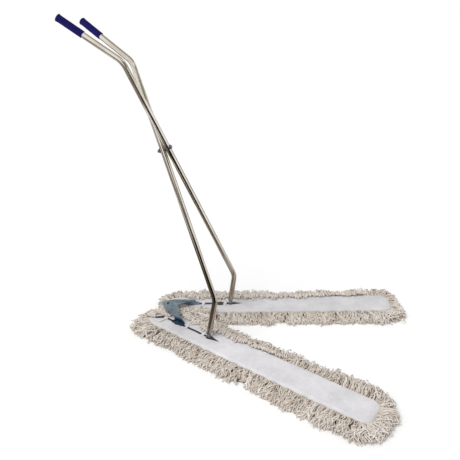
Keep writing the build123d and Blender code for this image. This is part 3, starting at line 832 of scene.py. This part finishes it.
def slitHalf(word, s):
    # half width of the opening: round start, straight, two round holes, and a wedge from the foot to a blunt
    # end; it gapes at one place, by a bell curve
    half = slit["half"][word]
    start = arc(half, np.maximum(slit["start"] + half - s, 0))
    place, spread, opens = slit["gape"][word]
    start = start * (1 + opens / half * np.exp(-((s - place) / spread) ** 2))
    start = np.where((s < slit["start"]) | (s > mop["footAt"]), 0.0, start)
    hingeHole = arc(slit["hingeHole"], s - mop["hingeAt"])
    footHole = arc(slit["footHole"], s - mop["footAt"])
    wedge = (slit["end"] - s) / (slit["end"] - mop["footAt"])
    wedge = slit["endHalf"] + (slit["footHole"] - slit["endHalf"]) * wedge
    wedge = np.where((s >= mop["footAt"]) & (s <= slit["end"]), wedge, 0.0)
    return np.maximum.reduce([start, hingeHole, footHole, wedge])


cover = {
    "crown": 0.0014,
    "thickness": 0.0015,
    "pucker": 0.0006,
    "puckerLength": 0.027,
    "hemFade": 0.012,
    "wrinkle": 0.00035,
    "waver": 0.16,  # of the rounded hem, as a share of its rounding
    "columns": 14,
    "endRows": (24, 10),  # over the round apex end and the round tip
    # the rows between them: from, to and step, closer round the hinge and the foot
    "rows": ((0.071, 0.095, 0.007), (0.0965, 0.128, 0.002), (0.133, 0.264, 0.009), (0.2655, 0.333, 0.0025),
             (0.339, 0.958, 0.012)),
}


def coverHeight(word, s, t):
    # the stretched top: crowned across, dimpled along its hem, lightly creased, turned down at the slit
    half = mop["halfWidth"] - mop["rounding"]
    z = mop["top"] - cover["crown"] * np.minimum(np.abs(t) / half, 1) ** 2
    hem = np.exp(-np.maximum(half - np.abs(t), 0) / cover["hemFade"])
    drift = 3 * np.sin(tau * s / 0.21) + np.sign(t)
    z = z + cover["pucker"] * hem * np.sin(tau * s / cover["puckerLength"] + drift)
    # two sets of waves at a slant, 83 and 51 mm long, that come and go along the mop
    crease = np.sin(tau * (s / 0.083 + t / 0.19) + 2 * np.sin(s * 17))
    crease = crease + np.sin(tau * (s / 0.051 - t / 0.11) + 1.3)
    z = z + cover["wrinkle"] * crease * np.sin(tau * s / 0.37 + 0.6) ** 2
    fromSlit = np.maximum(np.abs(t - slitMiddle(s)) - slitHalf(word, s), 0)
    before, after = slit["lipPast"]
    lip = np.where(s < slit["end"] + after, np.exp(-fromSlit / slit["lipFade"]), 0)
    return z - slit["lip"] * lip * (s > slit["start"] - before)


def makeCover(word, side):
    # two half fields of rows across the mop, from the slit to the start of the rounded edge, and a rim
    # that carries a quarter circle round the outline and drops to the pad
    edge = mop["rounding"]
    half, end, apex, tip = outline
    columns = cover["columns"]
    apexCount, tipCount = cover["endRows"]
    apexRows = edge + (half - edge) * (1 - np.cos(np.radians(np.linspace(0, 90, apexCount))))
    tipRows = end - edge - (tip - edge) * (1 - np.cos(np.radians(np.linspace(90, 0, tipCount))))
    rows = np.concatenate([apexRows, *[np.arange(*span) for span in cover["rows"]], tipRows])
    outer, inner = halfWidths(rows, edge)
    share = np.linspace(0, 1, columns) ** 1.15
    s = np.repeat(rows[:, None], columns, axis=1)
    middle = slitMiddle(rows)
    gap = np.minimum.reduce([slitHalf(word, rows), inner + middle, outer - middle])
    outerFrom, innerFrom = (middle + gap)[:, None], (middle - gap)[:, None]
    outerT = outerFrom + (outer[:, None] - outerFrom) * share
    innerT = (innerFrom - (inner[:, None] + innerFrom) * share)[:, ::-1]
    # the rim's loop: outer side, tip, inner side, apex end
    loopS = np.concatenate([rows, s[-1, 1:], s[-1, 1:-1], rows[::-1], s[0, 1:-1]])
    tipT = [outerT[-1, ::-1][1:], innerT[-1, ::-1][1:-1]]
    loopT = np.concatenate([outer, *tipT, -inner[::-1], outerT[0, 1:-1]])
    tipS = (rows - end + tip) / (tip - edge)
    apexS = [np.minimum(rows - radius, 0) / (radius - edge) for radius in (apex, half)]
    outerS, innerS = np.where(rows > end - tip, tipS, apexS)
    tipPoints = len(loopS) - 2 * len(rows) - (columns - 2)
    outS = np.concatenate([outerS, np.ones(tipPoints), innerS[::-1], -np.ones(columns - 2)])
    outT = arc(1, outS) * np.where(np.arange(len(outS)) < len(rows), 1, -1)
    bow = np.radians(np.linspace(0, 90, 8))[:, None]
    ringOut = np.concatenate([edge * np.sin(bow), [[edge]]])
    top = coverHeight(word, loopS, loopT)[None]
    ringZ = np.concatenate([top - edge * (1 - np.cos(bow)), np.full((1, len(loopS)), mop["bottom"])])
    waver = np.sin(tau * loopS / 0.061 + np.sign(loopT)) + 0.6 * np.sin(tau * loopS / 0.0337)
    ringOut = ringOut * (1 + cover["waver"] * waver * np.concatenate([np.sin(bow), [[1]]]))
    rimS, rimT = loopS + ringOut * outS, loopT + ringOut * outT
    fields = [(s, t, coverHeight(word, s, t)) for t in (outerT, innerT)]
    points = np.concatenate([toWorld(word, *part).reshape(-1, 3) for part in (*fields, (rimS, rimT, ringZ))])
    # the same cloth laid flat, for its weave, with 2 mm below the rounded edge
    flap = np.concatenate([edge * bow, [[edge * np.pi / 2 + 0.002]]])
    cloth = [(s, outerT), (s, innerT), (loopS + flap * outS, loopT + flap * outT)]
    flat = np.concatenate([np.stack(pair, axis=-1).reshape(-1, 2) for pair in cloth])
    field = gridFaces(len(rows), columns)[:, [0, 3, 2, 1]]
    rim = gridFaces(len(flap), len(loopS), wrap=True)
    faces = np.concatenate([field, field + s.size, rim + 2 * s.size])
    piece = makePiece(word + "CanvasCover", points, faces, side, flat[faces])
    mergeDoubles(piece)
    thicken(piece, cover["thickness"], -1)
    settle(piece, word, "white_canvas", "mop_cover")
    print(word, "cover:", len(rows), "rows,", len(loopS), "points round the rim")
    return piece


tabs = {
    # place along the left and the right mop, width and length of each tie
    "apex": (0.046, 0.0565, 0.015, 0.046),
    "middle": (0.161, 0.161, 0.013, 0.036),
    "foot": (0.258, 0.251, 0.014, 0.038),
    "thickness": 0.0011,
    "sway": 0.0015,  # of the tie along the mop
    "lift": 0.0012,
    "edge": 0.0006,  # how far a tape's edges turn down
    "tail": (0.012, 0.009, 0.036),  # the apex tie's loose end: width, and how far it goes back and outwards
    "tailLift": (0.0026, 0.0012, 0.0022),  # at its start, less at its end, more in its middle
}


def makeTape(name, word, side, s, t, z, width):
    # a flat band carried along a path of s, t and height, its width square to the path on the cover
    length = lengthAlong(np.stack([s, t, z], axis=-1))
    ahead = unit(np.gradient(np.stack([s, t], axis=-1), axis=0))
    over = np.linspace(-0.5, 0.5, 5)
    s = s[:, None] - ahead[:, 1:] * width * over
    t = t[:, None] + ahead[:, :1] * width * over
    z = z[:, None] - tabs["edge"] * (2 * over) ** 4
    flat = np.stack(np.broadcast_arrays(length[:, None], over * width), axis=-1).reshape(-1, 2)
    faces = gridFaces(*s.shape)
    piece = makePiece(name, toWorld(word, s, t, z), faces, side, flat[faces])
    thicken(piece, tabs["thickness"], 0)
    settle(piece, word, "white_canvas", "tie_tabs")
    return piece


def makeTabs(word, side):
    made = []
    for name in ("apex", "middle", "foot"):
        leftPlace, rightPlace, width, length = tabs[name]
        t = np.linspace(-length / 2, length / 2, 13)
        s = (leftPlace if side > 0 else rightPlace) + tabs["sway"] * np.sin(tau * t / length)
        z = np.maximum(coverHeight(word, s, t), mop["top"] - tabs["lift"]) + tabs["lift"]
        made.append(makeTape(word + "Tie" + name.title(), word, side, s, t, z, width))
    # the loose end: a bent run over the tie and out across the cover, lifted in its middle
    width, back, outward = tabs["tail"]
    q = np.linspace(0, 1, 11)
    s = tabs["apex"][0 if side > 0 else 1] + 0.002 - back * q ** 1.6
    t = 0.014 + outward * q - 0.008 * q ** 2
    first, less, more = tabs["tailLift"]
    z = coverHeight(word, s, t) + first - less * q + more * np.sin(np.pi * q)
    made.append(makeTape(word + "TieTail", word, side, s, t, z, width))
    print(word, "ties:", len(made))
    return made


stitch = {
    "hem": 0.015,  # in from the cover's edge
    "slit": 0.0045,  # out from the slit's edge
    "pitch": 0.008,
    "length": 0.0058,
    "radius": 0.0005,
    "rise": (-0.0002, 0.0008),  # at the ends, and more in the middle
}


def stitchRow(word, s, t):
    # along a line on the cover, arcs that start and end in the cloth: height = cover + half a sine wave
    length = lengthAlong(np.stack([s, t], axis=-1))
    first = np.arange(0.5 * stitch["pitch"], length[-1] - stitch["pitch"], stitch["pitch"])
    q = np.linspace(0, 1, 6)
    at = first[:, None] + stitch["length"] * q
    s, t = np.interp(at, length, s), np.interp(at, length, t)
    low, more = stitch["rise"]
    return toWorld(word, s, t, coverHeight(word, s, t) + low + more * np.sin(np.pi * q))


def makeStitches(word, side):
    distance, s, t, _ = edgeRun(-stitch["hem"])
    around = np.linspace(0, distance[-1], 600)
    rows = [stitchRow(word, np.interp(around, distance, s), np.interp(around, distance, t))]
    s = np.linspace(slit["start"] + 0.004, slit["end"], 300)
    for way in (1, -1):
        rows.append(stitchRow(word, s, slitMiddle(s) + way * (slitHalf(word, s) + stitch["slit"])))
    points, faces, uv = sweepTubes(np.concatenate(rows), stitch["radius"])
    settle(makePiece(word + "Stitches", points, faces, side, uv), word, "white_canvas", look=thread)
    print(word, "stitches:", sum(len(row) for row in rows))


for word, side in (("left", 1), ("right", -1)):
    makeFringe(word, side)
    makePad(word, side)
    canvas = makeCover(word, side)
    ties = makeTabs(word, side)
    makeStitches(word, side)

light = {
    "ambient": 0.58,
    "sun": 1.65,
    "sunFrom": (-0.35, -0.55, 1.0),
    "sunSpread": 40,  # degrees, as from a large soft box
    "floor": 30.0,
}


def makeStudio():
    # a white floor, an even white surround and one large soft light
    corners = np.array([(-1, -1, 0), (1, -1, 0), (1, 1, 0), (-1, 1, 0)]) * light["floor"]
    floor = makePiece("floor", corners, np.array([[0, 1, 2, 3]]))
    material, tree, shader = newMaterial("studioFloor")
    feed(tree, shader, {"Base Color": linear("#ffffff"), "Roughness": 1.0, "Specular IOR Level": 0.0})
    floor.data.materials.append(material)
    world = bpy.data.worlds.new("surround")
    scene.world = world
    world.use_nodes = True
    world.node_tree.nodes.clear()
    # white to the camera and in mirrors, dimmer as a light
    add = partial(addNode, world.node_tree)
    ray = add("LightPath", {}).outputs
    seen = add("Math", {0: ray["Is Camera Ray"], 1: ray["Is Glossy Ray"]}, operation="MAXIMUM")
    seen = add("Math", {0: seen, 1: ray["Is Transmission Ray"]}, operation="MAXIMUM")
    lamp = add("Background", {"Color": linear("#ffffff"), "Strength": light["ambient"]})
    white = add("Background", {"Color": linear("#ffffff"), "Strength": 1.0})
    add("OutputWorld", {"Surface": add("MixShader", {0: seen, 1: lamp, 2: white})})
    sun = bpy.data.objects.new("softLight", bpy.data.lights.new("softLight", "SUN"))
    sun.data.energy = light["sun"]
    sun.data.angle = np.radians(light["sunSpread"])
    sun.visible_glossy = False  # the chrome mirrors the surround and the cards, not the lamp
    sun.rotation_euler = Vector(light["sunFrom"]).to_track_quat("Z", "Y").to_euler()
    scene.collection.objects.link(sun)


cards = {
    # standing: headings in degrees from +Y towards +X, distance out, bottom and top height, colour
    "front": (122, 186, 1.25, 0.0, 1.0, "#0b0a09"),
    "frontHigh": (128, 165, 1.25, 1.05, 2.3, "#3a3629"),
    "left": (-178, -80, 0.75, 0.0, 0.32, "#5f594e"),
    "leftHigh": (-180, -112, 1.25, 0.33, 0.95, "#8b867d"),
    "right": (30, 128, 1.25, 1.54, 2.6, "#a3a08f"),
    "behind": (-60, 42, 2.8, 0.0, 1.2, "#645d55"),
}
canopies = {
    # lying: from and to along X, along Y, height, colour
    "ceiling": (-2.6, 0.4, -0.3, 2.8, 2.2, "#b4aea2"),
    "floorBehind": (-2.2, -0.2, 0.5, 2.6, 0.002, "#9a958a"),
    "floorLeft": (-5.5, -1.75, -0.8, 3.4, 0.003, "#a59f95"),
    "floorNear": (-1.3, 1.2, -0.82, -0.05, 0.002, "#756b60"),
    "floorFront": (-0.9, 1.4, -1.7, -0.82, 0.002, "#453f38"),
}


def makeCard(name, points, colour):
    card = makePiece("card" + name[0].upper() + name[1:], points, gridFaces(*points.shape[:2]))
    material, tree, shader = newMaterial(card.name + "Glow")
    # painted reflection: each card glows with its colour and shows only in polished metal; it lights nothing and
    # casts no shadow
    feed(tree, shader, {"Base Color": linear("#000000"), "Specular IOR Level": 0.0})
    feed(tree, shader, {"Emission Color": linear(colour), "Emission Strength": 1.0})
    card.data.materials.append(material)
    for ray in ("camera", "diffuse", "shadow", "transmission"):
        setattr(card, "visible_" + ray, False)


def makeCards():
    # parts of a cylinder wall round the object and level sheets, seen by polished metal only: they draw the
    # streaks along the chrome
    for name, (first, last, distance, bottom, top, colour) in cards.items():
        headings = np.radians(np.linspace(first, last, 24))
        heading, z = np.meshgrid(headings, [bottom, top], indexing="ij")
        makeCard(name, np.stack([distance * np.sin(heading), distance * np.cos(heading), z], axis=-1), colour)
    for name, (west, east, near, far, height, colour) in canopies.items():
        x, y = np.meshgrid([west, east], [near, far], indexing="ij")
        makeCard(name, np.stack([x, y, np.full_like(x, height)], axis=-1), colour)
    print("studio:", len(cards) + len(canopies), "cards")


makeStudio()
makeCards()
